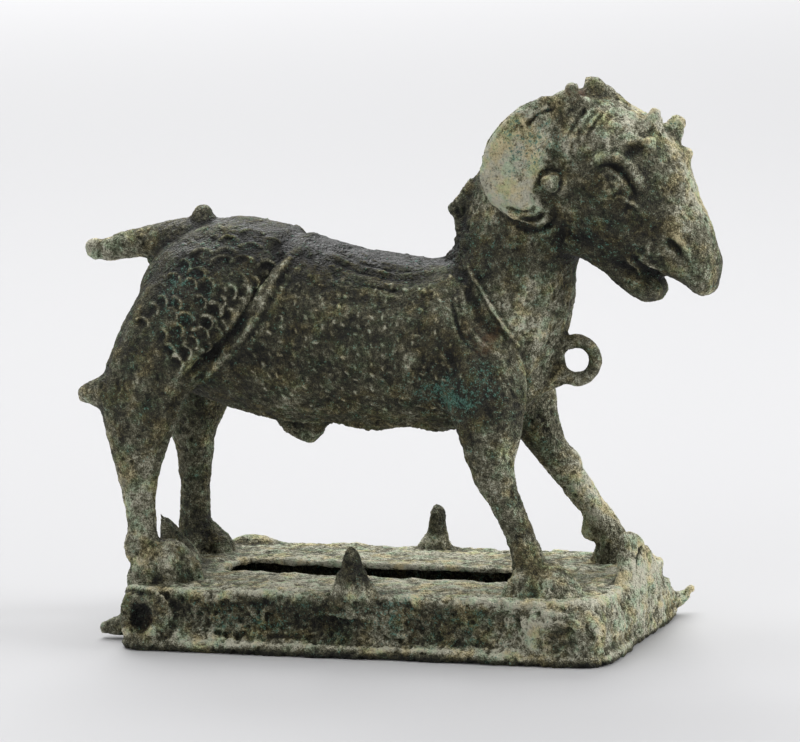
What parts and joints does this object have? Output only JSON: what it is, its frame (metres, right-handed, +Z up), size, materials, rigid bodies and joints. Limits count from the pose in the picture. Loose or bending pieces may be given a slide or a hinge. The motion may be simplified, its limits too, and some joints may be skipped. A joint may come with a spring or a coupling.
{
  "type": "ram figurine on plinth",
  "caption": "Cast bronze ram standing on a hollow rectangular plinth, with shell-like curled horns, strap bands, curled fleece and a suspension ring at its chest.",
  "frame": {"origin": "middle of the whole object's footprint, on the plane that the plinth stands on", "axes": "+X towards the ram's head, +Y to the ram's left side, +Z up"},
  "size_m": [0.208, 0.0936, 0.1758],
  "materials": {
    "bronze_ram": "corroded bronze patina, dark grey-green, buff powder on the horns and neck",
    "bronze_plinth": "rough corroded bronze patina, grey-green with malachite crusts"
  },
  "bodies": {
    "root": {"ram": "bronze_ram", "plinth": "bronze_plinth"}
  },
  "joints": []
}
